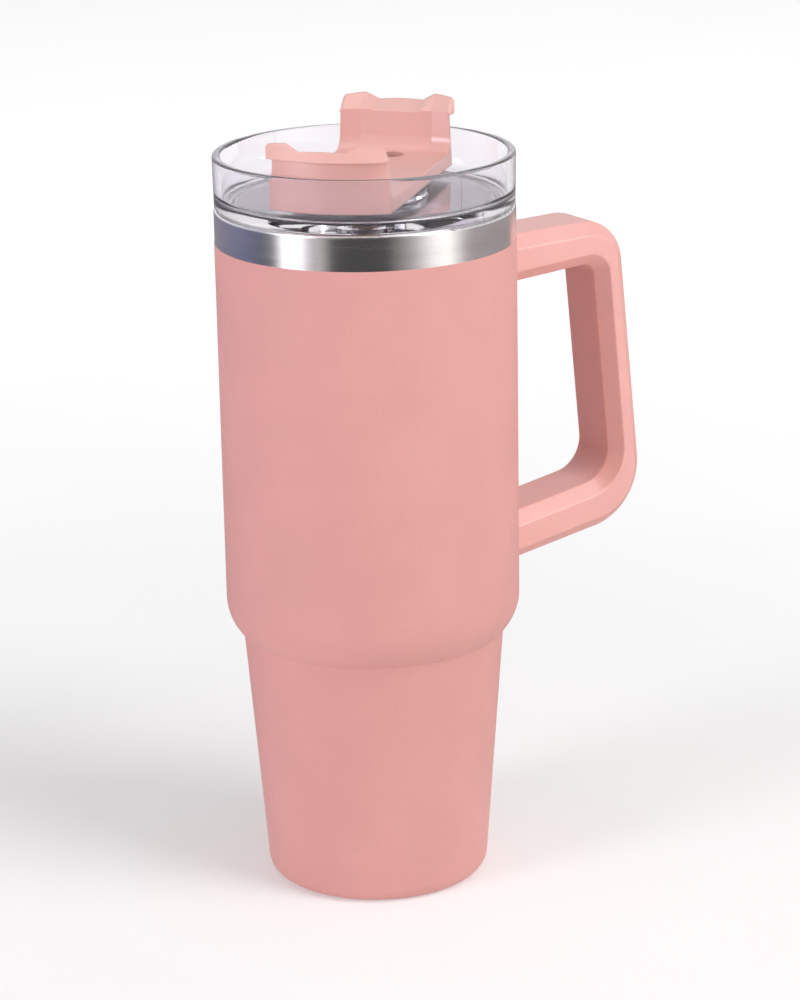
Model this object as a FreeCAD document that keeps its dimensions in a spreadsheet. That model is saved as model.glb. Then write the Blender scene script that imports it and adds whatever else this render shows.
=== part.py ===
import FreeCAD, Part
import math
import os
import re

import Sketcher

# Vacuum-insulated tumbler with a side handle and a clear lid that carries a rotating cover.
# Frame: millimetres, +Z up, origin at the centre of the base on the cup's axis, handle along +X.

SIZES = {
    # cup walls, measured to the outside of the coat
    "body_radius": 50.0,
    "base_radius": 37.8,
    "base_round": 5.0,
    "crease_radius": 44.5,
    "crease_height": 87.7,
    "shoulder_height": 100.0,
    "coat_top": 223.0,
    "coat_bottom": 0.3,
    "cup_height": 234.4,
    "lip_round": 0.9,
    "coat": 0.15,
    "shell_wall": 0.6,
    "vacuum_gap": 2.35,
    "liner_wall": 0.5,
    "liner_floor": 8.2,
    "liner_round": 6.0,
    # base
    "base_opening": 27.5,
    "base_flange": 31.0,
    "dimple_radius": 8.0,
    "dimple_depth": 2.4,
    "port_radius": 1.0,
    "seal_radius": 3.2,
    "base_cover_radius": 27.3,
    "base_cover_height": 0.2,
    "base_cover_wall": 0.4,
    "getter_offset": -16.0,
    "getter_radius": 4.6,
    "getter_length": 2.3,
    # handle: side outline in the XZ plane
    "arm_root": 45.0,
    "upper_arm_top": 218.5,
    "upper_arm_under": 201.8,
    "lower_arm_top": 119.7,
    "lower_arm_under": 102.8,
    "outer_top_reach": 96.1,
    "outer_top_height": 219.7,
    "outer_top_round": 16.5,
    "outer_low_reach": 106.8,
    "outer_low_height": 112.5,
    "outer_low_round": 21.5,
    "inner_top_reach": 85.5,
    "inner_top_height": 204.4,
    "inner_top_round": 4.0,
    "inner_low_reach": 93.0,
    "inner_low_height": 127.6,
    "inner_low_round": 11.5,
    "handle_width": 26.0,
    "handle_chamfer": 4.3,
    "handle_edge_round": 0.8,
    # handle fastening
    "upper_seat": 207.2,
    "lower_seat": 109.4,
    "seat_wall": 2.8,
    "tab_wall": 3.0,
    "tab_reach": 64.5,
    "tab_width": 12.0,
    "foot_wall": 1.6,
    "foot_width": 15.0,
    "foot_height": 9.0,
    "screw_reach": 58.0,
    "screw_radius": 2.0,
    "screw_head_radius": 3.5,
    "screw_head": 2.2,
    "plug_radius": 4.0,
    "plug_wall": 1.1,
    "fit_gap": 0.3,
    # lid
    "lid_turn": 43.0,
    "rim_radius": 49.85,
    "rim_height": 252.2,
    "rim_wall": 2.6,
    "rim_round": 0.9,
    "flange_radius": 49.6,
    "flange_bottom": 234.6,
    "flange_round": 0.8,
    "floor_top": 237.2,
    "floor_wall": 3.0,
    "floor_round": 3.0,
    "deck_radius": 20.5,
    "deck_top": 239.6,
    "skirt_radius": 45.2,
    "skirt_wall": 2.2,
    "skirt_bottom": 222.0,
    "groove_bottom": 226.0,
    "groove_top": 231.0,
    "groove_depth": 1.0,
    "gasket_reach": 46.2,
    "hub_radius": 9.0,
    "hub_bottom": 233.6,
    "pivot_radius": 4.5,
    "ring_major": 5.45,
    "ring_minor": 0.85,
    "opening_centre": 32.0,
    "opening_length": 14.0,
    "opening_width": 22.0,
    "opening_round": 5.0,
    "bead_wall": 1.6,
    "bead_height": 0.35,
    "track_inner": 13.6,
    "track_outer": 18.4,
    "track_depth": 1.3,
    "track_angle": 199.0,
    # rotating cover
    "cover_base": 240.3,
    "cover_top": 263.2,
    "cover_radius": 44.2,
    "cover_half": 19.7,
    "cover_draft": 2.0,
    "plate_top": 244.7,
    "plate_round": 5.0,
    "inner_reach": 40.2,
    "inner_flat": 12.5,
    "facet_back": 1.4,
    "bend_height": 258.3,
    "flare_run": 6.57,
    "lip_radius": 48.2,
    "lip_half": 19.6,
    "lip_bottom": 257.3,
    "ear_round": 1.2,
    "notch_half": 7.65,
    "ear_half": 11.65,
    "notch_depth": 2.5,
    "notch_bend": 257.8,
    "notch_run": 7.4,
    "straw_reach": 31.8,
    "straw_radius": 4.8,
    "boss_radius": 4.42,
    "boss_bottom": 233.4,
    "screw_bore_top": 243.0,
    "lug_inner": 14.0,
    "lug_outer": 18.0,
    "lug_width": 4.0,
    "lug_bottom": 238.7,
    "pad_inner": 23.0,
    "pad_outer": 41.0,
    "pad_width": 26.0,
    "pad_round": 7.0,
    "pad_depth": 1.2,
    "pad_proud": 0.2,
    "washer_radius": 8.0,
    "washer_wall": 1.0,
    "pivot_head_radius": 4.5,
    "pivot_head": 1.8,
}

BEYOND = "60"

doc = FreeCAD.newDocument("Tumbler")
sheet = doc.addObject("Spreadsheet::Sheet", "Sizes")
for row, (alias, size) in enumerate(SIZES.items(), start=1):
    sheet.set("A%d" % row, alias.replace("_", " "))
    sheet.set("B%d" % row, str(size))
    sheet.setAlias("B%d" % row, alias)
doc.recompute()

pieces = {}


def bound(formula):
    """Formula with every size name turned into a reference to its cell."""
    return re.sub(r"[a-z_]{3,}", lambda m: "Sizes." + m[0] if m[0] in SIZES else m[0], str(formula))


def bind(thing, name, formula):
    thing.setExpression(name, bound(formula))


def number(formula):
    return float(sheet.evalExpression(bound(formula)))


# ---- sketches and features -------------------------------------------------------------

def new_body(label, turned=False):
    body = doc.addObject("PartDesign::Body", label)
    body.Label = label
    if turned:
        body.Placement = FreeCAD.Placement(FreeCAD.Vector(), FreeCAD.Vector(0, 0, 1), 1.0)
        bind(body, "Placement.Rotation.Angle", "lid_turn")
    pieces[label] = body
    return body


def new_sketch(body, plane, lift=None):
    sketch = body.newObject("Sketcher::SketchObject", body.Label + "_sketch")
    sketch.AttachmentSupport = [(next(f for f in body.Origin.OriginFeatures if f.Role == plane), "")]
    sketch.MapMode = "FlatFace"
    if lift is not None:
        bind(sketch, "AttachmentOffset.Base.z", lift)
    return sketch


def pin_down(sketch, geometry, end, x, y):
    """Hold one point of a sketch at (x, y), each a formula of the sheet's sizes."""
    for kind, axis, formula in (("DistanceX", -2, x), ("DistanceY", -1, y)):
        if abs(number(formula)) < 1e-9:
            sketch.addConstraint(Sketcher.Constraint("PointOnObject", geometry, end, axis))
            continue
        held = Sketcher.Constraint(kind, -1, 1, geometry, end, number(formula))
        bind(sketch, "Constraints[%d]" % sketch.addConstraint(held), formula)


def hold_radius(sketch, arc, formula):
    held = sketch.addConstraint(Sketcher.Constraint("Radius", arc, number(formula)))
    bind(sketch, "Constraints[%d]" % held, formula)


def arc_through(start, finish, radius, left):
    """Minor arc from start to finish with its centre to the left or right of the way."""
    chord = finish - start
    middle = (start + finish) * 0.5
    rise = math.sqrt(max(radius**2 - chord.Length**2 / 4, 0.0))
    side = FreeCAD.Vector(-chord.y, chord.x, 0).normalize()
    centre = middle + side * (rise if left else -rise)
    first, last = (start, finish) if left else (finish, start)
    angles = [math.atan2(p.y - centre.y, p.x - centre.x) for p in (first, last)]
    circle = Part.Circle(centre, FreeCAD.Vector(0, 0, 1), radius)
    return Part.ArcOfCircle(circle, angles[0], angles[1])


def outline(body, plane, corners, lift=None):
    """Closed outline. A corner is (x, y), with an optional dict: "round" is the radius of the
    rounded corner; "left" or "right" is the radius of an arc that arrives from the corner
    before, with its centre on that side."""
    sketch = new_sketch(body, plane, lift)
    spots = [FreeCAD.Vector(number(c[0]), number(c[1]), 0) for c in corners]
    extras = [c[2] if len(c) > 2 else {} for c in corners]
    count = len(corners)
    enter, leave = list(spots), list(spots)
    for i, extra in enumerate(extras):
        if "round" in extra:
            back = (spots[i - 1] - spots[i]).normalize()
            ahead = (spots[(i + 1) % count] - spots[i]).normalize()
            run = number(extra["round"]) / math.tan(back.getAngle(ahead) / 2)
            enter[i] = spots[i] + back * run
            leave[i] = spots[i] + ahead * run
    edges = []
    for i, extra in enumerate(extras):
        start, finish = leave[i - 1], enter[i]
        side = next((s for s in ("left", "right") if s in extra), None)
        if side is None:
            edges.append((sketch.addGeometry(Part.LineSegment(start, finish)), 1, 2))
            continue
        left = side == "left"
        arc = sketch.addGeometry(arc_through(start, finish, number(extra[side]), left))
        edges.append((arc, 1, 2) if left else (arc, 2, 1))
        hold_radius(sketch, arc, extra[side])
    for i, extra in enumerate(extras):
        before, after = edges[i], edges[(i + 1) % count]
        x, y = corners[i][:2]
        if "round" not in extra:
            meet = Sketcher.Constraint("Coincident", before[0], before[2], after[0], after[1])
            sketch.addConstraint(meet)
            pin_down(sketch, before[0], before[2], x, y)
            continue
        turn = (leave[i] - enter[i]).cross(spots[i] - enter[i]).z < 0
        arc = sketch.addGeometry(arc_through(enter[i], leave[i], number(extra["round"]), turn))
        first, last = (1, 2) if turn else (2, 1)
        corner = sketch.addGeometry(Part.Point(spots[i]), True)
        sketch.addConstraint([
            Sketcher.Constraint("Tangent", before[0], before[2], arc, first),
            Sketcher.Constraint("Tangent", arc, last, after[0], after[1]),
            Sketcher.Constraint("PointOnObject", corner, 1, before[0]),
            Sketcher.Constraint("PointOnObject", corner, 1, after[0]),
        ])
        pin_down(sketch, corner, 1, x, y)
        hold_radius(sketch, arc, extra["round"])
    return sketch


def round_hole_sketch(body, x, radius, lift):
    sketch = new_sketch(body, "XY_Plane", lift)
    centre = FreeCAD.Vector(number(x), 0, 0)
    ring = sketch.addGeometry(Part.Circle(centre, FreeCAD.Vector(0, 0, 1), number(radius)))
    pin_down(sketch, ring, 3, x, "0")
    hold_radius(sketch, ring, radius)
    return sketch


def box_corners(x_low, x_high, half, extra=None):
    """Rectangle from x_low to x_high, half wide each side of the X axis."""
    spots = [(x_low, "-(%s)" % half), (x_high, "-(%s)" % half), (x_high, half), (x_low, half)]
    return [(x, y, extra) if extra else (x, y) for x, y in spots]


def feature(body, kind, sketch):
    made = body.newObject("PartDesign::" + kind, body.Label + "_" + kind.lower())
    made.Profile = sketch
    return made


def spin(body, corners, kind="Revolution", angle=None):
    """Turn an outline in the XZ plane about the Z axis, to add or to cut."""
    sketch = outline(body, "XZ_Plane", corners)
    made = feature(body, kind, sketch)
    made.ReferenceAxis = (sketch, ["V_Axis"])
    made.Angle = 360.0
    if angle is not None:
        bind(made, "Angle", angle)
        made.Midplane = True
    doc.recompute()
    return made


def extrude(body, sketch, kind, length, up=True, middle=False):
    """Pad or pocket along the sketch's normal; up is the normal's own way."""
    made = feature(body, kind, sketch)
    bind(made, "Length", length)
    made.Reversed = up if kind == "Pocket" else not up
    if middle:
        made.SideType = "Symmetric"
    doc.recompute()
    return made


def cut_between(body, first, second):
    """Cut the straight-sided solid between two outlines."""
    made = feature(body, "SubtractiveLoft", first)
    made.Sections = [second]
    made.Ruled = True
    doc.recompute()
    return made


def dress(body, kind, base, edges, size_name, size):
    made = body.newObject("PartDesign::" + kind, body.Label + "_" + kind.lower())
    made.Base = (base, edges)
    bind(made, size_name, size)
    doc.recompute()
    return made


def edges_where(solid_feature, test):
    return ["Edge%d" % i for i, edge in enumerate(solid_feature.Shape.Edges, start=1) if test(edge)]


# ---- cup ---------------------------------------------------------------------------------

OUTER = {"shell": "coat", "hollow": "(coat + shell_wall)"}
OUTER["liner"] = "(coat + shell_wall + vacuum_gap)"
OUTER["inside"] = "(coat + shell_wall + vacuum_gap + liner_wall)"
CONE = "(crease_radius - base_radius)/crease_height"


def crease(inset):
    return "crease_radius - " + inset, "crease_height + 0.53*" + inset


def shoulder(inset):
    return "body_radius - " + inset, "shoulder_height"


def shoulder_arc(inset):
    run = "(body_radius - crease_radius)"
    drop = "(shoulder_height - crease_height - 0.53*%s)" % inset
    return "(%s^2 + %s^2)/(2*%s)" % (run, drop, run)


def wall_up(inset):
    """Crease, then the shoulder's arc up to the straight side, as corners of an outline."""
    return [crease(inset), shoulder(inset) + ({"left": shoulder_arc(inset)},)]


def wall_down(inset):
    return [shoulder(inset), crease(inset) + ({"right": shoulder_arc(inset)},)]


def make_outer_shell():
    body = new_body("outer_shell")
    hollow = OUTER["hollow"]
    spin(body, [
        ("base_opening", "0"),
        ("base_radius - coat", "0", {"round": "base_round - coat"}),
        *wall_up(OUTER["shell"]),
        ("body_radius - coat", "cup_height", {"round": "lip_round"}),
        ("body_radius - " + OUTER["liner"], "cup_height"),
        ("body_radius - " + OUTER["liner"], "cup_height - shell_wall"),
        ("body_radius - " + hollow, "cup_height - shell_wall", {"round": "lip_round - shell_wall"}),
        *wall_down(hollow),
        ("base_radius - " + hollow, "shell_wall", {"round": "base_round - " + hollow}),
        ("base_opening", "shell_wall"),
    ])


def make_powder_coat():
    body = new_body("powder_coat")
    spin(body, [
        ("base_flange", "-coat"),
        ("base_radius", "-coat", {"round": "base_round"}),
        *wall_up("0"),
        ("body_radius", "coat_top"),
        ("body_radius - coat", "coat_top"),
        *wall_down(OUTER["shell"]),
        ("base_radius - coat", "0", {"round": "base_round - coat"}),
        ("base_flange", "0"),
    ])
    # the steel ring that the cup stands on stays bare
    spin(body, [("0", "-1"), ("body_radius", "-1"), ("body_radius", "coat_bottom"),
                ("0", "coat_bottom")], "Groove")
    # bare windows where the handle's brackets are welded on
    for seat in ("upper_seat", "lower_seat"):
        low = foot_bottom(seat)
        window = outline(body, "YZ_Plane", [
            ("-foot_width/2", low), ("foot_width/2", low),
            ("foot_width/2", low + " + foot_height"), ("-foot_width/2", low + " + foot_height")])
        extrude(body, window, "Pocket", BEYOND)


def make_inner_liner():
    body = new_body("inner_liner")
    outside, inside = OUTER["liner"], OUTER["inside"]
    spin(body, [
        ("0", "liner_floor"),
        ("base_radius - %s + %s*liner_floor" % (outside, CONE), "liner_floor",
         {"round": "liner_round"}),
        *wall_up(outside),
        ("body_radius - " + outside, "cup_height"),
        ("body_radius - " + inside, "cup_height"),
        *wall_down(inside),
        ("base_radius - %s + %s*liner_floor" % (inside, CONE), "liner_floor + liner_wall",
         {"round": "liner_round - liner_wall"}),
        ("0", "liner_floor + liner_wall"),
    ])


def make_base_disc():
    body = new_body("base_disc")
    low, high = "shell_wall", "2*shell_wall"
    spin(body, [
        ("port_radius", low + " + dimple_depth"),
        ("dimple_radius - 1", low + " + dimple_depth"),
        ("dimple_radius + 1", low),
        ("base_flange", low),
        ("base_flange", high),
        ("dimple_radius + 1.4", high),
        ("dimple_radius - 0.6", high + " + dimple_depth"),
        ("port_radius", high + " + dimple_depth"),
    ])


def make_vacuum_seal():
    """Bead that closes the pumping port, with a stem that fills it."""
    body = new_body("vacuum_seal")
    port = "shell_wall + dimple_depth"
    spin(body, [
        ("0", port + " - 1"),
        ("seal_radius", port + " - 1", {"round": "0.6"}),
        ("seal_radius", port),
        ("port_radius", port),
        ("port_radius", port + " + shell_wall"),
        ("0", port + " + shell_wall"),
    ])


def make_base_cover():
    disc = doc.addObject("Part::Cylinder", "base_cover")
    bind(disc, "Radius", "base_cover_radius")
    bind(disc, "Height", "base_cover_wall")
    bind(disc, "Placement.Base.z", "base_cover_height")
    pieces["base_cover"] = disc


def make_getter():
    """Gas-absorbing pill under the liner, in a cup with a welded-on plate."""
    holder = new_body("getter_holder")
    plate = "liner_floor - 0.5"
    rim = "liner_floor - 0.5 - getter_length"
    spin(holder, [
        ("0", plate),
        ("getter_radius", plate),
        ("getter_radius", rim),
        ("getter_radius + 0.6", rim),
        ("getter_radius + 0.6", plate),
        ("getter_radius + 2.6", plate),
        ("getter_radius + 2.6", "liner_floor"),
        ("0", "liner_floor"),
    ])
    bind(holder, "Placement.Base.x", "getter_offset")
    pill = doc.addObject("Part::Cylinder", "getter")
    bind(pill, "Radius", "getter_radius")
    bind(pill, "Height", "getter_length")
    bind(pill, "Placement.Base.x", "getter_offset")
    bind(pill, "Placement.Base.z", rim)
    pieces["getter"] = pill


# ---- handle ------------------------------------------------------------------------------

def tab_bottom(seat):
    return seat + " + seat_wall"


def foot_bottom(seat):
    return seat + " + seat_wall + tab_wall/2 - foot_height/2"


def make_handle():
    body = new_body("handle")
    side = outline(body, "XZ_Plane", [
        ("arm_root", "upper_arm_top"),
        ("arm_root", "upper_arm_under"),
        ("inner_top_reach", "inner_top_height", {"round": "inner_top_round"}),
        ("inner_low_reach", "inner_low_height", {"round": "inner_low_round"}),
        ("arm_root", "lower_arm_top"),
        ("arm_root", "lower_arm_under"),
        ("outer_low_reach", "outer_low_height", {"round": "outer_low_round"}),
        ("outer_top_reach", "outer_top_height", {"round": "outer_top_round"}),
    ])
    bar = extrude(body, side, "Pad", "handle_width", middle=True)
    half, root = number("handle_width/2"), number("arm_root")

    def on_side(edge):
        box = edge.BoundBox
        flat = box.YLength < 1e-6 and abs(abs(box.YMin) - half) < 1e-6
        return flat and not (box.XLength < 1e-6 and abs(box.XMin - root) < 1e-6)

    bevelled = dress(body, "Chamfer", bar, edges_where(bar, on_side), "Size", "handle_chamfer")
    inner = half - number("handle_chamfer")

    def on_bevel(edge):
        box = edge.BoundBox
        flat = box.YLength < 1e-6 and min(abs(abs(box.YMin) - y) for y in (half, inner)) < 1e-6
        return flat and box.XMax > root + 1e-3

    dress(body, "Fillet", bevelled, edges_where(bevelled, on_bevel), "Radius", "handle_edge_round")
    # both arms end on the cup's straight side
    spin(body, [("0", "crease_height"), ("body_radius + 0.02", "crease_height"),
                ("body_radius + 0.02", "cup_height"), ("0", "cup_height")], "Groove")
    for seat in ("upper_seat", "lower_seat"):
        low = foot_bottom(seat)
        foot = outline(body, "XY_Plane", box_corners(
            "arm_root - 5", "body_radius + foot_wall + fit_gap", "foot_width/2 + fit_gap"),
            low + " - fit_gap")
        extrude(body, foot, "Pocket", "foot_height + 2*fit_gap")
        tab = outline(body, "XY_Plane", box_corners(
            "arm_root", "tab_reach + fit_gap", "tab_width/2 + fit_gap"),
            tab_bottom(seat) + " - 0.1")
        extrude(body, tab, "Pocket", "tab_wall + 0.2")
        shank = round_hole_sketch(body, "screw_reach", "screw_radius + 0.2", seat)
        extrude(body, shank, "Pocket", "seat_wall + tab_wall + 1.5")
        head = round_hole_sketch(body, "screw_reach", "plug_radius + 0.05", seat)
        extrude(body, head, "Pocket", "8", up=False)


def make_bracket(label, seat):
    """Steel foot that follows the shell, with a flat tab that the handle slides over."""
    body = new_body(label)
    inner, outer, half = "(body_radius - coat)", "(body_radius + foot_wall)", "foot_width/2"
    inner_end, outer_end = ("sqrt(%s^2 - (%s)^2)" % (radius, half) for radius in (inner, outer))
    foot = outline(body, "XY_Plane", [
        (inner_end, "-" + half, {"right": inner}),
        (outer_end, "-" + half),
        (outer_end, half, {"left": outer}),
        (inner_end, half),
    ], foot_bottom(seat))
    extrude(body, foot, "Pad", "foot_height")
    tab = outline(body, "XY_Plane", box_corners("body_radius + foot_wall/2", "tab_reach",
                                                "tab_width/2"), tab_bottom(seat))
    extrude(body, tab, "Pad", "tab_wall")
    hole = round_hole_sketch(body, "screw_reach", "screw_radius", tab_bottom(seat))
    extrude(body, hole, "Pocket", "tab_wall")


def pair(label, make_one):
    """One node that holds the two identical pieces, one at each seat."""
    group = doc.addObject("Part::Compound", label)
    group.Links = [make_one(label + "_" + seat, seat) for seat in ("upper_seat", "lower_seat")]
    for link in group.Links:
        del pieces[link.Label]
    pieces[label] = group


def make_handle_screw(label, seat):
    body = new_body(label)
    tip = seat + " + seat_wall + tab_wall + 0.8"
    spin(body, [
        ("0", seat + " - screw_head"),
        ("screw_head_radius", seat + " - screw_head", {"round": "0.9"}),
        ("screw_head_radius", seat),
        ("screw_radius", seat),
        ("screw_radius", tip + " - 0.6"),
        ("screw_radius - 0.6", tip),
        ("0", tip),
    ])
    bind(body, "Placement.Base.x", "screw_reach")
    return body


def make_screw_plug(label, seat):
    body = new_body(label)
    top = seat + " - screw_head"
    spin(body, [
        ("0", top + " - plug_wall"),
        ("plug_radius", top + " - plug_wall", {"round": "0.4"}),
        ("plug_radius", top),
        ("0", top),
    ])
    bind(body, "Placement.Base.x", "screw_reach")
    return body


# ---- lid ---------------------------------------------------------------------------------

def make_lid():
    body = new_body("lid", turned=True)
    floor_bottom = "floor_top - floor_wall"
    spin(body, [
        ("0", "hub_bottom"),
        ("hub_radius", "hub_bottom", {"round": "0.6"}),
        ("hub_radius", floor_bottom, {"round": "0.8"}),
        ("skirt_radius - skirt_wall", floor_bottom, {"round": "1"}),
        ("skirt_radius - skirt_wall", "skirt_bottom"),
        ("skirt_radius", "skirt_bottom", {"round": "1"}),
        ("skirt_radius", "groove_bottom"),
        ("skirt_radius - groove_depth", "groove_bottom"),
        ("skirt_radius - groove_depth", "groove_top"),
        ("skirt_radius", "groove_top"),
        ("skirt_radius", "flange_bottom"),
        ("flange_radius", "flange_bottom", {"round": "flange_round"}),
        ("rim_radius", "rim_height", {"round": "rim_round"}),
        ("rim_radius - rim_wall", "rim_height", {"round": "rim_round"}),
        ("flange_radius - rim_wall", "floor_top", {"round": "floor_round"}),
        ("deck_radius", "floor_top", {"round": "0.8"}),
        ("deck_radius", "deck_top", {"round": "0.6"}),
        ("0", "deck_top"),
    ])
    half = "opening_length/2"
    bead = outline(body, "XY_Plane", box_corners(
        "opening_centre - %s - bead_wall" % half, "opening_centre + %s + bead_wall" % half,
        "opening_width/2 + bead_wall", {"round": "opening_round + bead_wall"}), "floor_top - 0.5")
    extrude(body, bead, "Pad", "deck_top + bead_height - floor_top + 0.5")
    opening = outline(body, "XY_Plane", box_corners(
        "opening_centre - " + half, "opening_centre + " + half, "opening_width/2",
        {"round": "opening_round"}), "floor_top - floor_wall - 1")
    extrude(body, opening, "Pocket", "deck_top - floor_top + floor_wall + 3")
    # arc-shaped track for the cover's stop lug: its two ends are the stops
    spin(body, [("track_inner", "deck_top - track_depth"), ("track_outer", "deck_top - track_depth"),
                ("track_outer", "deck_top + 1"), ("track_inner", "deck_top + 1")],
         "Groove", "track_angle")
    pivot = round_hole_sketch(body, "0", "pivot_radius", "hub_bottom - 1")
    extrude(body, pivot, "Pocket", "deck_top - hub_bottom + 2")
    recess = round_hole_sketch(body, "0", "ring_major + ring_minor + 0.05",
                               "deck_top - 2*ring_minor")
    extrude(body, recess, "Pocket", "2*ring_minor + 1")


def make_lid_gasket():
    """Silicone band in the skirt's groove, with two sealing ribs."""
    body = new_body("lid_gasket")
    inner, web = "skirt_radius - groove_depth", "skirt_radius + 0.3"
    low, high = "groove_bottom + 0.1", "groove_top - 0.1"
    spin(body, [
        (inner, low),
        ("gasket_reach - 0.5", low),
        ("gasket_reach", low + " + 0.6"),
        ("gasket_reach", low + " + 1.2"),
        (web, low + " + 1.8"),
        (web, high + " - 1.8"),
        ("gasket_reach", high + " - 1.2"),
        ("gasket_reach", high + " - 0.6"),
        ("gasket_reach - 0.5", high),
        (inner, high),
    ])


def make_pivot_ring():
    ring = doc.addObject("Part::Torus", "pivot_ring")
    bind(ring, "Radius1", "ring_major")
    bind(ring, "Radius2", "ring_minor")
    bind(ring, "Placement.Base.z", "deck_top - ring_minor")
    pieces["pivot_ring"] = ring


# ---- rotating cover ----------------------------------------------------------------------

def strip(body, radius, half, lift):
    """Strip across the lid whose ends follow a circle about the axis."""
    end = "sqrt(%s^2 - %s^2)" % (radius, half)
    return outline(body, "XY_Plane", [
        (end, "-" + half),
        (end, half, {"left": radius}),
        ("-" + end, half),
        ("-" + end, "-" + half, {"left": radius}),
    ], lift)


def inside_corners(out):
    """Space between the two end walls: each has a flat middle and set-back sides."""
    middle = "(inner_reach + %s)" % out
    wide = "(cover_half + 2)"
    side = "(%s - facet_back*(%s - inner_flat)/(cover_half - inner_flat))" % (middle, wide)
    right = [(side, "-" + wide), (middle, "-inner_flat"), (middle, "inner_flat"), (side, wide)]
    return right + [("-" + x, "-(%s)" % y) for x, y in right]


def notch_section(body, reach, toward):
    """Upright section through the notch at one distance from the axis."""
    rise = "(cover_top - notch_depth - notch_bend)/notch_run"
    floor = "(notch_bend + %s*(%s - inner_reach))" % (rise, reach)
    top = "(cover_top + 3)"
    half = "(notch_half + (ear_half - notch_half)/notch_depth*(%s - %s))" % (top, floor)
    lift = reach if toward > 0 else "-(%s)" % reach
    return outline(body, "YZ_Plane", [("-notch_half", floor), ("notch_half", floor),
                                      (half, top), ("-" + half, top)], lift)


def make_rotating_cover():
    body = new_body("rotating_cover", turned=True)
    lower = extrude(body, strip(body, "cover_radius", "cover_half", "cover_base"), "Pad",
                    "lip_bottom + 0.5 - cover_base")
    bind(lower, "TaperAngle", "-cover_draft")
    extrude(body, strip(body, "lip_radius", "lip_half", "lip_bottom"), "Pad",
            "cover_top - lip_bottom")
    inside = extrude(body, outline(body, "XY_Plane", inside_corners("0"), "plate_top"), "Pocket", BEYOND)
    plate, width = number("plate_top"), number("cover_half") + 0.1

    def at_foot(edge):
        box = edge.BoundBox
        flat = box.ZLength < 1e-6 and abs(box.ZMin - plate) < 1e-6
        return flat and min(abs(box.XMin), abs(box.XMax)) > 30 and box.XLength < 5 and box.YLength < width * 2

    dress(body, "Fillet", inside, edges_where(inside, at_foot), "Radius", "plate_round")
    spread = "flare_run/(cover_top - bend_height)*(cover_top + 1 - bend_height)"
    cut_between(body, outline(body, "XY_Plane", inside_corners("0"), "bend_height"),
                outline(body, "XY_Plane", inside_corners(spread), "cover_top + 1"))
    for toward in (1, -1):
        notched = cut_between(body, notch_section(body, "inner_reach - 3", toward),
                              notch_section(body, "lip_radius + 2", toward))
    half, top = number("lip_half"), number("cover_top")

    def ear_corner(edge):
        box = edge.BoundBox
        return box.YLength < 1e-6 and abs(abs(box.YMin) - half) < 1e-6 and box.XLength > 3 \
            and 1 < box.ZLength and box.ZMax < top + 1e-6

    dress(body, "Fillet", notched, edges_where(notched, ear_corner), "Radius", "ear_round")
    extrude(body, round_hole_sketch(body, "straw_reach", "straw_radius", "cover_base - 1"),
            "Pocket", "10")
    extrude(body, round_hole_sketch(body, "0", "boss_radius", "boss_bottom"), "Pad",
            "cover_base + 1 - boss_bottom")
    extrude(body, round_hole_sketch(body, "0", "screw_radius", "boss_bottom"), "Pocket",
            "screw_bore_top - boss_bottom")
    lug = outline(body, "XY_Plane", [
        ("-lug_width/2", "-lug_outer"), ("lug_width/2", "-lug_outer"),
        ("lug_width/2", "-lug_inner"), ("-lug_width/2", "-lug_inner")], "lug_bottom")
    extrude(body, lug, "Pad", "cover_base + 1 - lug_bottom")
    extrude(body, pad_outline(body, "cover_base"), "Pocket", "pad_depth")


def pad_outline(body, lift):
    return outline(body, "XY_Plane", box_corners("-pad_outer", "-pad_inner", "pad_width/2",
                                                 {"round": "pad_round"}), lift)


def make_cover_seal():
    """Silicone pad under the solid end, which closes the lid's opening when turned over it."""
    body = new_body("cover_seal", turned=True)
    extrude(body, pad_outline(body, "cover_base - pad_proud"), "Pad", "pad_proud + pad_depth")


def make_retaining_washer():
    body = new_body("retaining_washer")
    inner, low = "screw_radius + 0.15", "boss_bottom - washer_wall"
    spin(body, [
        (inner, low),
        ("washer_radius", low, {"round": "0.3"}),
        ("washer_radius", "boss_bottom"),
        (inner, "boss_bottom"),
    ])


def make_pivot_screw():
    body = new_body("pivot_screw")
    seat = "boss_bottom - washer_wall"
    tip = "screw_bore_top - 0.4"
    spin(body, [
        ("0", seat + " - pivot_head"),
        ("pivot_head_radius", seat + " - pivot_head", {"round": "0.9"}),
        ("pivot_head_radius", seat),
        ("screw_radius", seat),
        ("screw_radius", tip),
        ("0", tip),
    ])


# ---- build, check, write -----------------------------------------------------------------

def check():
    for thing in doc.Objects:
        if set(thing.State) & {"Invalid", "Error"}:
            raise RuntimeError("%s: %s" % (thing.Name, thing.State))
    for label, piece in pieces.items():
        shape = piece.Shape
        if shape.isNull() or not shape.isValid() or not shape.Solids:
            raise RuntimeError("%s has no valid solid" % label)


make_outer_shell()
make_powder_coat()
make_inner_liner()
make_base_disc()
make_vacuum_seal()
make_base_cover()
make_getter()
make_handle()
make_bracket("upper_bracket", "upper_seat")
make_bracket("lower_bracket", "lower_seat")
pair("handle_screws", make_handle_screw)
pair("screw_plugs", make_screw_plug)
make_lid()
make_lid_gasket()
make_pivot_ring()
make_rotating_cover()
make_cover_seal()
make_retaining_washer()
make_pivot_screw()
doc.recompute()
check()

os.makedirs("parts", exist_ok=True)
for label, piece in pieces.items():
    piece.Shape.exportStep("parts/%s.step" % label)
    print("%-18s solids %d  volume %10.1f mm3" % (label, len(piece.Shape.Solids), piece.Shape.Volume))
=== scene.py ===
import math

import bpy
from mathutils import Matrix, Vector

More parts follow.
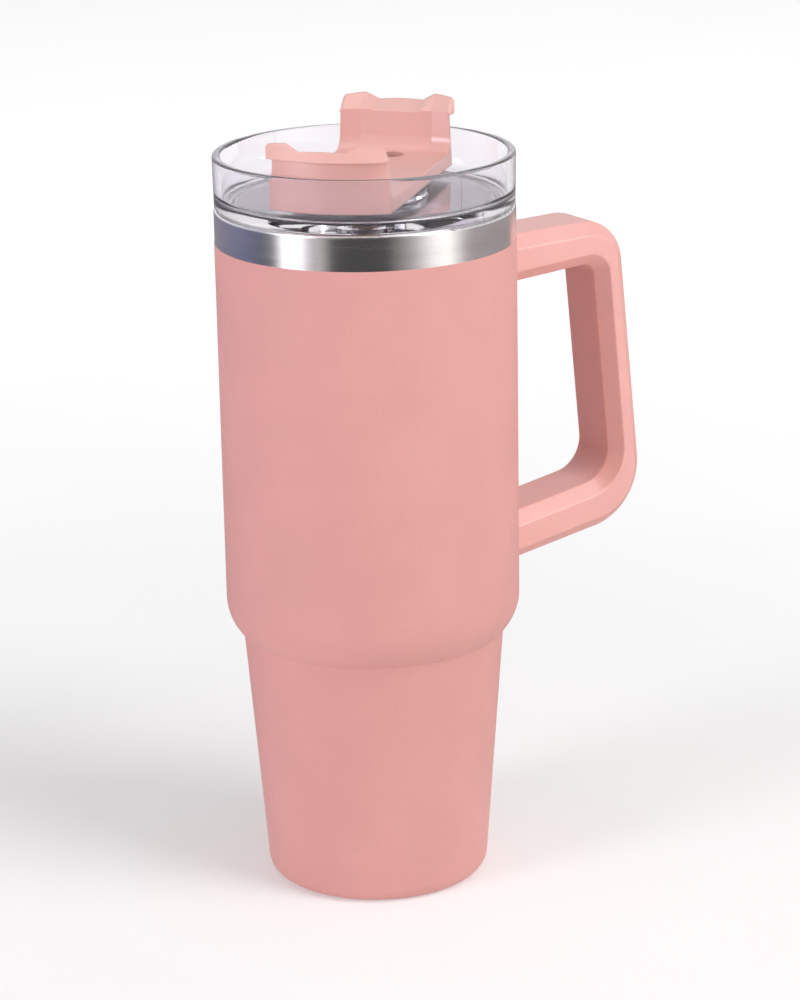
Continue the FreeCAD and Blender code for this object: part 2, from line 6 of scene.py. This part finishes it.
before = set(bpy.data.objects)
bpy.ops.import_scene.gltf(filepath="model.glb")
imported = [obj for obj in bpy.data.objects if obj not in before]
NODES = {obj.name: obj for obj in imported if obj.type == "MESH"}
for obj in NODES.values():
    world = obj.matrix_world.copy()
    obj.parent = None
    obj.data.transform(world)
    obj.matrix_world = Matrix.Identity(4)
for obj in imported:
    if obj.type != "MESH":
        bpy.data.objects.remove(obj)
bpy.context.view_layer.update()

SCENE = bpy.context.scene

# ---------------------------------------------------------------- camera

CAMERA_AZIMUTH = math.radians(-31.0)
CAMERA_PLACE = Vector((-0.52337, -0.87103, 0.45094))
CAMERA_YAW = 0.0096236
CAMERA_PITCH = 0.304217
CAMERA_ROLL = -0.0184940
CAMERA_LENS = 113.086


def make_camera():
    """A long lens, a little above the lid, with the handle on the right."""
    forward_flat = Vector((math.sin(CAMERA_YAW), math.cos(CAMERA_YAW), 0.0))
    right_flat = Vector((math.cos(CAMERA_YAW), -math.sin(CAMERA_YAW), 0.0))
    z = Vector((0.0, 0.0, 1.0))
    forward = forward_flat * math.cos(CAMERA_PITCH) - z * math.sin(CAMERA_PITCH)
    up_flat = z * math.cos(CAMERA_PITCH) + forward_flat * math.sin(CAMERA_PITCH)
    right = right_flat * math.cos(CAMERA_ROLL) + up_flat * math.sin(CAMERA_ROLL)
    up = up_flat * math.cos(CAMERA_ROLL) - right_flat * math.sin(CAMERA_ROLL)
    turn = Matrix.Rotation(CAMERA_AZIMUTH, 3, "Z")
    columns = [turn @ right, turn @ up, turn @ (-forward)]
    rotation = Matrix(columns).transposed().to_4x4()
    data = bpy.data.cameras.new("camera")
    data.lens = CAMERA_LENS
    data.sensor_width = 36.0
    data.clip_start = 0.01
    camera = bpy.data.objects.new("camera", data)
    camera.matrix_world = Matrix.Translation(CAMERA_PLACE) @ rotation
    SCENE.collection.objects.link(camera)
    SCENE.camera = camera


make_camera()

# ---------------------------------------------------------------- materials


class Graph:
    """One node material, with short calls for the nodes that it uses."""

    def __init__(self, name):
        self.material = bpy.data.materials.new(name)
        self.material.use_nodes = True
        self.tree = self.material.node_tree
        self.shader = self.tree.nodes["Principled BSDF"]
        self.place = self.add("ShaderNodeTexCoord").outputs["Object"]

    def add(self, kind, **settings):
        node = self.tree.nodes.new(kind)
        for key, value in settings.items():
            setattr(node, key, value)
        return node

    def put(self, value, socket):
        if hasattr(value, "is_output"):
            self.tree.links.new(value, socket)
        else:
            socket.default_value = value

    def math(self, operation, a, b=0.0):
        node = self.add("ShaderNodeMath", operation=operation)
        self.put(a, node.inputs[0])
        self.put(b, node.inputs[1])
        return node.outputs[0]

    def spread(self, value, low, high, new_low, new_high):
        node = self.add("ShaderNodeMapRange")
        self.put(value, node.inputs["Value"])
        ends = {"From Min": low, "From Max": high, "To Min": new_low, "To Max": new_high}
        for key, number in ends.items():
            node.inputs[key].default_value = number
        return node.outputs["Result"]

    def noise(self, scale, detail=2.0, rough=0.5, place=None):
        node = self.add("ShaderNodeTexNoise")
        node.inputs["Scale"].default_value = scale
        node.inputs["Detail"].default_value = detail
        node.inputs["Roughness"].default_value = rough
        self.put(self.place if place is None else place, node.inputs["Vector"])
        return node.outputs["Fac"]

    def colours(self, value, *stops):
        """A colour ramp from (position, colour) stops."""
        node = self.add("ShaderNodeValToRGB")
        ramp = node.color_ramp
        ramp.elements[0].position, ramp.elements[0].color = stops[0][0], (*stops[0][1], 1.0)
        ramp.elements[1].position, ramp.elements[1].color = stops[-1][0], (*stops[-1][1], 1.0)
        for position, colour in stops[1:-1]:
            ramp.elements.new(position).color = (*colour, 1.0)
        self.put(value, node.inputs["Fac"])
        return node.outputs["Color"]

    def bump(self, height, depth, strength=1.0, under=None):
        node = self.add("ShaderNodeBump")
        node.inputs["Strength"].default_value = strength
        node.inputs["Distance"].default_value = depth
        self.put(height, node.inputs["Height"])
        if under is not None:
            self.put(under, node.inputs["Normal"])
        return node.outputs["Normal"]

    def around_axis(self):
        """A point's x, y and z, and its distance from the cup's axis."""
        split = self.add("ShaderNodeSeparateXYZ")
        self.put(self.place, split.inputs[0])
        x, y, z = split.outputs
        squares = self.math("ADD", self.math("MULTIPLY", x, x), self.math("MULTIPLY", y, y))
        return x, y, z, self.math("SQRT", squares)

    def rounded(self, radius):
        """The surface normal, turned smoothly over sharp edges."""
        node = self.add("ShaderNodeBevel", samples=6)
        node.inputs["Radius"].default_value = radius
        return node.outputs["Normal"]

    def set(self, **values):
        for key, value in values.items():
            self.put(value, self.shader.inputs[key.replace("_", " ")])


def tint(colour, factor):
    return tuple(min(1.0, part * factor) for part in colour)


def powder_coat():
    g = Graph("powder_coat")
    pink = (0.625, 0.287, 0.262)
    blotch = g.noise(38.0, 3.0)
    grain = g.noise(2600.0, 2.0, 0.6)
    mixed = g.math("ADD", g.math("MULTIPLY", blotch, 0.45), g.math("MULTIPLY", grain, 0.55))
    g.set(Base_Color=g.colours(mixed, (0.30, tint(pink, 0.93)), (0.50, pink), (0.70, tint(pink, 1.07))))
    g.set(Roughness=g.spread(g.noise(700.0, 3.0), 0.3, 0.7, 0.52, 0.66))
    g.shader.inputs["Specular IOR Level"].default_value = 0.5
    g.shader.inputs["Sheen Weight"].default_value = 0.05
    coarse = g.bump(g.noise(1150.0, 3.0, 0.55), 0.00006, 0.7)
    g.set(Normal=g.bump(grain, 0.00003, 0.6, under=coarse))
    return g.material


def pink_plastic(name, pink):
    g = Graph(name)
    blotch = g.noise(55.0, 3.0)
    g.set(Base_Color=g.colours(blotch, (0.30, tint(pink, 0.98)), (0.70, tint(pink, 1.02))))
    g.set(Roughness=g.spread(g.noise(300.0, 3.0), 0.3, 0.7, 0.33, 0.38))
    g.shader.inputs["Specular IOR Level"].default_value = 0.8
    g.set(Normal=g.bump(g.noise(1800.0, 2.0), 0.00002, 0.06, under=g.rounded(0.0006)))
    g.shader.inputs["Subsurface Weight"].default_value = 0.25
    g.shader.inputs["Subsurface Radius"].default_value = (1.0, 0.35, 0.2)
    g.shader.inputs["Subsurface Scale"].default_value = 0.002
    return g.material


LINES_PER_METRE = 5200.0
LINE_SLANT = 0.83
LINE_CHANGES = 5.0


def brushed_steel(name, colour, rough):
    """Steel with brush lines round the cup's axis, on walls and on flat ends."""
    g = Graph(name)
    x, y, z, radius = g.around_axis()
    across = g.math("MULTIPLY", g.math("ADD", radius, g.math("MULTIPLY", z, LINE_SLANT)), LINES_PER_METRE)
    join = g.add("ShaderNodeCombineXYZ")
    g.put(across, join.inputs[0])
    g.put(g.math("MULTIPLY", g.math("DIVIDE", x, radius), LINE_CHANGES), join.inputs[1])
    g.put(g.math("MULTIPLY", g.math("DIVIDE", y, radius), LINE_CHANGES), join.inputs[2])
    lines = g.noise(1.0, 3.0, 0.6, place=join.outputs[0])
    broad = g.noise(0.11, 2.0, 0.5, place=join.outputs[0])
    g.set(Metallic=1.0)
    g.set(Base_Color=g.colours(lines, (0.30, tint(colour, 0.96)), (0.70, tint(colour, 1.03))))
    mixed = g.math("ADD", g.math("MULTIPLY", lines, 0.5), g.math("MULTIPLY", broad, 0.5))
    g.set(Roughness=g.spread(mixed, 0.3, 0.7, rough - 0.03, rough + 0.03))
    g.set(Normal=g.bump(lines, 0.000012, 0.15))
    g.shader.inputs["Anisotropic"].default_value = 0.9
    g.shader.inputs["Anisotropic Rotation"].default_value = 0.25
    tangent = g.add("ShaderNodeTangent", direction_type="RADIAL", axis="Z")
    g.put(tangent.outputs[0], g.shader.inputs["Tangent"])
    return g.material


PARTING_LINE = math.radians(-83.0)
RIM_SKIN = 0.0485


def clear_plastic():
    """Clear plastic with the faint parting line that the mould leaves on both sides of the rim."""
    g = Graph("clear_plastic")
    x, y, _, radius = g.around_axis()
    across = g.math("SUBTRACT", g.math("MULTIPLY", x, math.sin(PARTING_LINE)),
                    g.math("MULTIPLY", y, math.cos(PARTING_LINE)))
    on_rim = g.math("GREATER_THAN", radius, RIM_SKIN)
    line = g.math("MULTIPLY", g.spread(g.math("ABSOLUTE", across), 0.00005, 0.00018, 1.0, 0.0), on_rim)
    g.set(Base_Color=g.colours(line, (0.0, (0.962, 0.938, 0.982)), (1.0, (0.45, 0.43, 0.50))))
    g.shader.inputs["Transmission Weight"].default_value = 0.98
    g.shader.inputs["IOR"].default_value = 1.52
    g.set(Roughness=g.spread(g.noise(60.0, 4.0), 0.3, 0.7, 0.015, 0.05))
    g.set(Normal=g.bump(g.noise(70.0, 2.0), 0.00008, 0.25))
    return g.material


def silicone(name, colour):
    g = Graph(name)
    blotch = g.noise(80.0, 2.0)
    g.set(Base_Color=g.colours(blotch, (0.3, tint(colour, 0.95)), (0.7, tint(colour, 1.04))))
    g.set(Roughness=g.spread(g.noise(900.0, 2.0), 0.3, 0.7, 0.42, 0.56))
    g.set(Normal=g.bump(g.noise(1500.0, 2.0), 0.00003, 0.4))
    g.shader.inputs["Transmission Weight"].default_value = 0.25
    return g.material


def plain_steel():
    g = Graph("pressed_steel")
    g.set(Metallic=1.0)
    blotch = g.noise(240.0, 3.0)
    g.set(Base_Color=g.colours(blotch, (0.3, (0.55, 0.55, 0.56)), (0.7, (0.66, 0.66, 0.67))))
    g.set(Roughness=g.spread(g.noise(1200.0, 3.0), 0.3, 0.7, 0.24, 0.38))
    g.set(Normal=g.bump(g.noise(2400.0, 2.0), 0.00001, 0.5))
    return g.material


def dark_alloy():
    g = Graph("getter_alloy")
    g.set(Metallic=0.7)
    grains = g.noise(900.0, 4.0)
    g.set(Base_Color=g.colours(grains, (0.3, (0.10, 0.10, 0.11)), (0.7, (0.24, 0.24, 0.25))))
    g.set(Roughness=g.spread(g.noise(1500.0, 3.0), 0.3, 0.7, 0.6, 0.8))
    g.set(Normal=g.bump(g.noise(3000.0, 3.0), 0.00006, 0.8))
    return g.material


def sealing_glass():
    g = Graph("sealing_glass")
    swirl = g.noise(500.0, 3.0)
    g.set(Base_Color=g.colours(swirl, (0.3, (0.07, 0.07, 0.09)), (0.7, (0.16, 0.16, 0.19))))
    g.set(Roughness=g.spread(g.noise(800.0, 2.0), 0.3, 0.7, 0.08, 0.2))
    g.set(Normal=g.bump(g.noise(600.0, 2.0), 0.00005, 0.5))
    return g.material


def wear(node, finish):
    """Puts one material in every slot of a CAD node."""
    mesh = NODES[node].data
    mesh.materials.clear()
    mesh.materials.append(finish)


COAT = powder_coat()
HANDLE_PINK = pink_plastic("handle_plastic", (0.755, 0.378, 0.340))
# The cover's pink is lighter than the handle's. Part of this is a peachier tint of the plastic. Part is
# painted light, making up for the light that the clear lid keeps off the cover.
COVER_PINK_PAINTED_LIGHTER = pink_plastic("cover_plastic_painted_lighter", (0.745, 0.412, 0.364))
BAND = brushed_steel("brushed_steel", (0.86, 0.845, 0.85), 0.25)
LINER = brushed_steel("liner_steel", (0.86, 0.85, 0.86), 0.30)
PRESSED = plain_steel()
CLEAR = clear_plastic()
SEAL = silicone("silicone", (0.80, 0.79, 0.80))
ALLOY = dark_alloy()
FRIT = sealing_glass()

FINISHES = {
    "outer_shell": BAND,
    "powder_coat": COAT,
    "inner_liner": LINER,
    "base_disc": LINER,
    "vacuum_seal": FRIT,
    "base_cover": LINER,
    "getter_holder": PRESSED,
    "getter": ALLOY,
    "handle": HANDLE_PINK,
    "upper_bracket": PRESSED,
    "lower_bracket": PRESSED,
    "handle_screws": PRESSED,
    "screw_plugs": HANDLE_PINK,
    "lid": CLEAR,
    "lid_gasket": SEAL,
    "pivot_ring": SEAL,
    "rotating_cover": COVER_PINK_PAINTED_LIGHTER,
    "cover_seal": SEAL,
    "retaining_washer": PRESSED,
    "pivot_screw": PRESSED,
}
for node, finish in FINISHES.items():
    wear(node, finish)

# ---------------------------------------------------------------- stage

TO_CAMERA = Matrix.Rotation(CAMERA_AZIMUTH, 3, "Z") @ Vector((0.0, -1.0, 0.0))
TO_RIGHT = Matrix.Rotation(CAMERA_AZIMUTH, 3, "Z") @ Vector((1.0, 0.0, 0.0))


def mesh_object(name, points, faces):
    mesh = bpy.data.meshes.new(name)
    mesh.from_pydata(points, [], faces)
    thing = bpy.data.objects.new(name, mesh)
    SCENE.collection.objects.link(thing)
    return thing


FLOOR_HALF = 4.0


def make_floor():
    """White paper that glows a little more the further it lies from the cup."""
    corners = [(FLOOR_HALF * x, FLOOR_HALF * y, 0.0) for x, y in ((-1, -1), (1, -1), (1, 1), (-1, 1))]
    floor = mesh_object("floor", corners, [(0, 1, 2, 3)])
    g = Graph("floor_paper")
    g.set(Base_Color=g.colours(g.noise(6.0, 2.0), (0.3, (0.74, 0.74, 0.74)), (0.7, (0.76, 0.76, 0.76))))
    *_, reach = g.around_axis()
    g.set(Roughness=0.9, Emission_Color=(1.0, 1.0, 1.0, 1.0))
    g.set(Emission_Strength=g.spread(reach, 0.2, 1.0, 0.24, 0.50))
    g.shader.inputs["Specular IOR Level"].default_value = 0.1
    floor.data.materials.append(g.material)


# The colours that the steel and the plastic reflect, by azimuth in degrees to the right of the camera:
# above the cup and beside it.
TENT_HIGH = (
    (-180, (1.10, 1.08, 1.12)),
    (-110, (0.70, 0.70, 0.78)),
    (-80, (0.45, 0.45, 0.53)),
    (-68, (1.50, 1.48, 1.52)),
    (-50, (1.60, 1.58, 1.60)),
    (-36, (0.40, 0.38, 0.38)),
    (-14, (0.10, 0.09, 0.09)),
    (14, (0.12, 0.10, 0.10)),
    (34, (0.50, 0.47, 0.46)),
    (48, (2.00, 1.95, 1.90)),
    (70, (2.00, 1.95, 1.92)),
    (84, (0.80, 0.77, 0.78)),
    (120, (0.80, 0.78, 0.80)),
    (180, (1.10, 1.08, 1.12)),
)
# Five tones for the panels at the cup's height, set to give the steel its light and dark stripes.
DARK = (0.05, 0.05, 0.05)
COOL = (0.12, 0.13, 0.24)
DIM = (0.32, 0.28, 0.28)
PALE = (0.55, 0.50, 0.50)
WHITE = (0.90, 0.85, 0.80)
TENT_LOW = (
    (-180, DIM),
    (-100, COOL),
    (-70, DARK),
    (-60, WHITE),
    (-45, DIM),
    (-33, PALE),
    (-24, DARK),
    (15, DARK),
    (45, PALE),
    (62, WHITE),
    (75, DIM),
    (180, DIM),
)


TENT_RADIUS = 0.42
TENT_HEIGHT = 1.1
TENT_STEPS = 96
TENT_FOOT = 0.11
TENT_LIFT = 0.003
TENT_CHANGE = (0.20, 0.28)


def make_tent():
    """A round wall of light and dark panels, with its floor, that only reflections see."""
    steps = TENT_STEPS
    turns = [2 * math.pi * step / steps for step in range(steps)]
    levels = ((TENT_FOOT, TENT_LIFT), (TENT_RADIUS, TENT_LIFT), (TENT_RADIUS, TENT_HEIGHT))
    points = [(reach * math.cos(turn), reach * math.sin(turn), z) for reach, z in levels for turn in turns]
    faces = [(level * steps + i, level * steps + (i + 1) % steps,
              (level + 1) * steps + (i + 1) % steps, (level + 1) * steps + i)
             for level in range(2) for i in range(steps)]
    tent = mesh_object("light_tent", points, faces)
    tent.rotation_euler = (0.0, 0.0, CAMERA_AZIMUTH)
    for ray in ("camera", "diffuse", "shadow", "volume_scatter", "transmission"):
        setattr(tent, "visible_" + ray, False)
    g = Graph("tent_panels")
    x, y, z, _ = g.around_axis()
    angle = g.math("ARCTAN2", x, g.math("MULTIPLY", y, -1.0))
    where = g.spread(angle, -math.pi, math.pi, 0.0, 1.0)
    glow = g.add("ShaderNodeEmission")
    low, high = [g.colours(where, *[((degrees + 180.0) / 360.0, colour) for degrees, colour in stops])
                 for stops in (TENT_LOW, TENT_HIGH)]
    mix = g.add("ShaderNodeMix", data_type="RGBA")
    g.put(g.spread(z, *TENT_CHANGE, 0.0, 1.0), mix.inputs["Factor"])
    g.put(low, mix.inputs[6])
    g.put(high, mix.inputs[7])
    g.put(mix.outputs[2], glow.inputs["Color"])
    g.tree.links.new(glow.outputs[0], g.tree.nodes["Material Output"].inputs["Surface"])
    tent.data.materials.append(g.material)


LIGHT_DISTANCE = 3.2
LIGHT_AIM = Vector((0.0, 0.0, 0.14))


def soft_light(name, azimuth, elevation, size, power, colour=(1.0, 1.0, 1.0)):
    """A round softbox that faces the cup, turned right from the camera and raised over the cup's middle."""
    data = bpy.data.lights.new(name, "AREA")
    data.shape = "DISK"
    data.size = size
    data.energy = power
    data.color = colour
    lamp = bpy.data.objects.new(name, data)
    turn, rise = math.radians(azimuth), math.radians(elevation)
    level = TO_RIGHT * math.sin(turn) + TO_CAMERA * math.cos(turn)
    outward = level * math.cos(rise) + Vector((0.0, 0.0, math.sin(rise)))
    turned = outward.to_track_quat("Z", "Y").to_matrix().to_4x4()
    lamp.matrix_world = Matrix.Translation(LIGHT_AIM + outward * LIGHT_DISTANCE) @ turned
    lamp.visible_camera = False
    SCENE.collection.objects.link(lamp)


WORLD_SEEN = 0.95
WORLD_CAST = 0.36


def make_world():
    """An even white room, brighter to the eye and through clear pieces than as a light on the cup."""
    world = bpy.data.worlds.new("studio")
    world.use_nodes = True
    background = world.node_tree.nodes["Background"]
    background.inputs["Color"].default_value = (1.0, 0.995, 0.99, 1.0)
    path = world.node_tree.nodes.new("ShaderNodeLightPath")
    level = world.node_tree.nodes.new("ShaderNodeMapRange")
    level.inputs["To Min"].default_value = WORLD_SEEN
    level.inputs["To Max"].default_value = WORLD_CAST
    world.node_tree.links.new(path.outputs["Is Diffuse Ray"], level.inputs["Value"])
    world.node_tree.links.new(level.outputs["Result"], background.inputs["Strength"])
    world.cycles.sampling_method = "NONE"
    SCENE.world = world


make_floor()
make_tent()
make_world()
soft_light("left_box", -55.5, 12.0, 1.2, 50.0, (0.98, 0.96, 1.06))
soft_light("right_box", 61.0, 14.0, 1.7, 38.0)
soft_light("right_top_box", 60.0, 50.0, 1.8, 38.0)
soft_light("top_box", 0.0, 88.0, 2.4, 13.0)

SCENE.view_settings.view_transform = "Standard"
SCENE.view_settings.look = "None"
